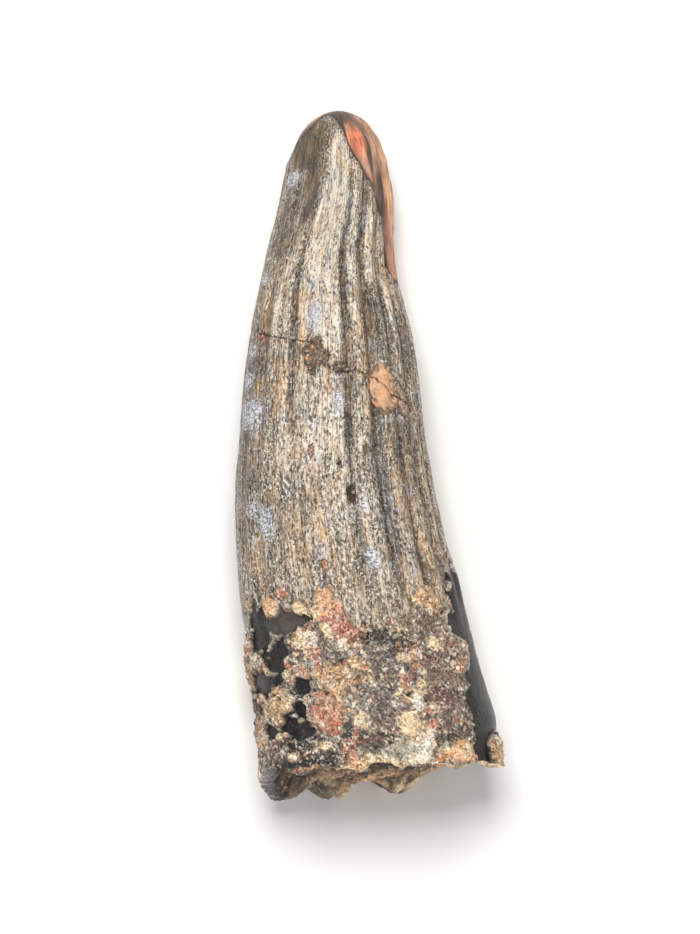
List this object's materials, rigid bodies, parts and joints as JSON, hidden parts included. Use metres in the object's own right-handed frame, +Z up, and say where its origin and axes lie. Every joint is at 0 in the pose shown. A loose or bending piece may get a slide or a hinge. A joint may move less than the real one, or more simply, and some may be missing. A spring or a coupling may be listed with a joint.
{
  "type": "fossil suchomimus tooth",
  "caption": "Curved conical fossil tooth with fluted enamel, a worn tip and a sand-crusted broken root, lying on its side on a small flat spot.",
  "frame": {"origin": "under the middle of the tooth's bounding box, on the surface it rests on", "axes": "+Y from the broken root to the worn tip, +Z up, away from the flat spot it rests on, +X towards the hollow side of the curve"},
  "size_m": [0.0204, 0.0538, 0.0144],
  "materials": {
    "enamel": "glossy mottled grey-brown fossil enamel with fine lengthwise ridges"
  },
  "bodies": {
    "root": {"tooth": "enamel"}
  },
  "joints": []
}
